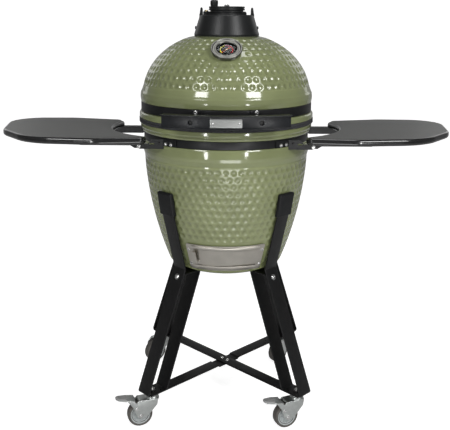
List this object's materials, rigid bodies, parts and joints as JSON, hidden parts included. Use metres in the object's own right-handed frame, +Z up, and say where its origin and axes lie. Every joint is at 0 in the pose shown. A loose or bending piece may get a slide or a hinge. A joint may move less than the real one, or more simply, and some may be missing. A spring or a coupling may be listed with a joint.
{
  "type": "kamado grill",
  "caption": "Egg-shaped ceramic charcoal grill with a hinged domed lid, rotating top vent, sliding draft door, folding side shelves and a rolling strip-steel stand",
  "frame": {"origin": "floor level, on the vertical axis of the ceramic body", "axes": "+Z up, -Y towards the front handle, +X to the right seen from the front"},
  "size_m": [1.404, 0.636, 1.254],
  "materials": {
    "glazed_shell": "glossy sage green glaze over pressed round dimples",
    "firebrick": "unglazed refractory",
    "grate_iron": "rough cast",
    "grate_steel": "polished round bar",
    "felt": "dense needled felt",
    "band_steel": "satin black band",
    "black_steel": "satin powder coat",
    "stand_steel": "satin powder coat",
    "bolt_steel": "bright zinc plated",
    "brushed_stainless": "brushed",
    "spring_steel": "dark oiled spring wire",
    "cast_black": "satin black cast",
    "knob_metal": "turned with dark grip",
    "dial_face": "black printed dial with a coloured arc and ticks",
    "needle_red": "red orange paint",
    "dial_glass": "clear",
    "shelf_black": "fine grained matte top with a glossy rounded edge",
    "pad_rubber": "matte moulded rubber",
    "caster_zinc": "zinc plated pressed steel",
    "caster_wheel": "grey moulded core with a grey brown tread",
    "pedal_plastic": "grey moulded tread on a metal lever"
  },
  "bodies": {
    "grill_base": {"base_shell": "glazed_shell", "fire_bowl": "firebrick", "fire_ring": "firebrick", "charcoal_grate": "grate_iron", "base_gasket": "felt", "base_band": "band_steel", "hinge_base_bracket": "black_steel", "hinge_pin": "bolt_steel", "hinge_springs": "spring_steel", "draft_frame": "brushed_stainless", "draft_screws": "bolt_steel", "shelf_brackets": "black_steel", "shelf_bracket_bolts": "bolt_steel", "shelf_pivot_pins": "bolt_steel", "stand_legs": "stand_steel", "leg_pads": "pad_rubber", "leg_bolts": "bolt_steel", "brace_upper": "stand_steel", "brace_lower": "stand_steel", "brace_screws": "bolt_steel", "caster_stems": "caster_zinc"},
    "cooking_grid": {"cooking_grate": "grate_steel"},
    "lid": {"lid_shell": "glazed_shell", "lid_gasket": "felt", "lid_band": "band_steel", "lid_handle": "black_steel", "handle_brackets": "black_steel", "handle_bolts": "bolt_steel", "name_plate": "brushed_stainless", "name_plate_rivets": "bolt_steel", "hinge_lid_bracket": "black_steel", "vent_gasket": "felt", "vent_housing": "cast_black", "vent_side_bolts": "cast_black", "vent_pivot_screw": "bolt_steel", "thermometer_bezel": "brushed_stainless", "thermometer_dial": "dial_face", "thermometer_lens": "dial_glass", "thermometer_probe": "brushed_stainless"},
    "vent_slide": {"vent_slide_plate": "cast_black", "vent_center_screw": "bolt_steel"},
    "damper": {"vent_damper_wheel": "cast_black", "vent_knob": "knob_metal"},
    "gauge_needle": {"thermometer_needle": "needle_red"},
    "ash_door": {"draft_door": "brushed_stainless"},
    "left_folding_shelf": {"left_shelf": "shelf_black", "left_shelf_arms": "black_steel"},
    "right_folding_shelf": {"right_shelf": "shelf_black", "right_shelf_arms": "black_steel"},
    "front_left_caster": {"front_left_fork": "caster_zinc"},
    "front_left_roller": {"front_left_wheel": "caster_wheel"},
    "front_left_brake": {"front_left_pedal": "pedal_plastic"},
    "front_right_caster": {"front_right_fork": "caster_zinc"},
    "front_right_roller": {"front_right_wheel": "caster_wheel"},
    "front_right_brake": {"front_right_pedal": "pedal_plastic"},
    "rear_left_caster": {"rear_left_fork": "caster_zinc"},
    "rear_left_roller": {"rear_left_wheel": "caster_wheel"},
    "rear_right_caster": {"rear_right_fork": "caster_zinc"},
    "rear_right_roller": {"rear_right_wheel": "caster_wheel"}
  },
  "joints": [
    {"name": "lid_hinge", "type": "hinge", "parent": "grill_base", "child": "lid", "pos_m": [0, 0.305, 0.897], "axis": [-1, 0, 0], "range_deg": [0, 75]},
    {"name": "grid_lift", "type": "slide", "parent": "grill_base", "child": "cooking_grid", "axis": [0, 0, 1], "range_m": [0, 0.06]},
    {"name": "vent_slide_swing", "type": "hinge", "parent": "lid", "child": "vent_slide", "pos_m": [-0.062, 0, 1.21], "axis": [0, 0, 1], "range_deg": [0, 60]},
    {"name": "damper_turn", "type": "hinge", "parent": "vent_slide", "child": "damper", "pos_m": [0, 0, 1.228], "axis": [0, 0, 1], "range_deg": [0, 36]},
    {"name": "gauge_turn", "type": "hinge", "parent": "lid", "child": "gauge_needle", "pos_m": [0, -0.18, 1.109], "axis": [0, 0.5948, -0.8039], "range_deg": [0, 270]},
    {"name": "ash_door_slide", "type": "hinge", "parent": "grill_base", "child": "ash_door", "pos_m": [0, 0, 0.508], "axis": [0, 0, 1], "range_deg": [0, 21]},
    {"name": "left_shelf_fold", "type": "hinge", "parent": "grill_base", "child": "left_folding_shelf", "pos_m": [-0.25, 0, 0.838], "axis": [0, -1, 0], "range_deg": [0, 90]},
    {"name": "right_shelf_fold", "type": "hinge", "parent": "grill_base", "child": "right_folding_shelf", "pos_m": [0.25, 0, 0.838], "axis": [0, 1, 0], "range_deg": [0, 90]},
    {"name": "front_left_swivel", "type": "hinge", "parent": "grill_base", "child": "front_left_caster", "pos_m": [-0.21638, -0.21638, 0.09], "axis": [0, 0, 1], "continuous": true},
    {"name": "front_left_roll", "type": "hinge", "parent": "front_left_caster", "child": "front_left_roller", "pos_m": [-0.25271, -0.22748, 0.0375], "axis": [0.2924, -0.9563, 0], "continuous": true},
    {"name": "front_left_brake_press", "type": "hinge", "parent": "front_left_caster", "child": "front_left_brake", "pos_m": [-0.26419, -0.23099, 0.06], "axis": [0.2924, -0.9563, 0], "range_deg": [0, 12]},
    {"name": "front_right_swivel", "type": "hinge", "parent": "grill_base", "child": "front_right_caster", "pos_m": [0.21638, -0.21638, 0.09], "axis": [0, 0, 1], "continuous": true},
    {"name": "front_right_roll", "type": "hinge", "parent": "front_right_caster", "child": "front_right_roller", "pos_m": [0.1814, -0.23122, 0.0375], "axis": [0.3907, -0.9205, 0], "continuous": true},
    {"name": "front_right_brake_press", "type": "hinge", "parent": "front_right_caster", "child": "front_right_brake", "pos_m": [0.17035, -0.23591, 0.06], "axis": [0.3907, -0.9205, 0], "range_deg": [0, 12]},
    {"name": "rear_left_swivel", "type": "hinge", "parent": "grill_base", "child": "rear_left_caster", "pos_m": [-0.21638, 0.21638, 0.09], "axis": [0, 0, 1], "continuous": true},
    {"name": "rear_left_roll", "type": "hinge", "parent": "rear_left_caster", "child": "rear_left_roller", "pos_m": [-0.24632, 0.19298, 0.0375], "axis": [0.6157, -0.788, 0], "continuous": true},
    {"name": "rear_right_swivel", "type": "hinge", "parent": "grill_base", "child": "rear_right_caster", "pos_m": [0.21638, 0.21638, 0.09], "axis": [0, 0, 1], "continuous": true},
    {"name": "rear_right_roll", "type": "hinge", "parent": "rear_right_caster", "child": "rear_right_roller", "pos_m": [0.18813, 0.19095, 0.0375], "axis": [0.6691, -0.7431, 0], "continuous": true}
  ]
}
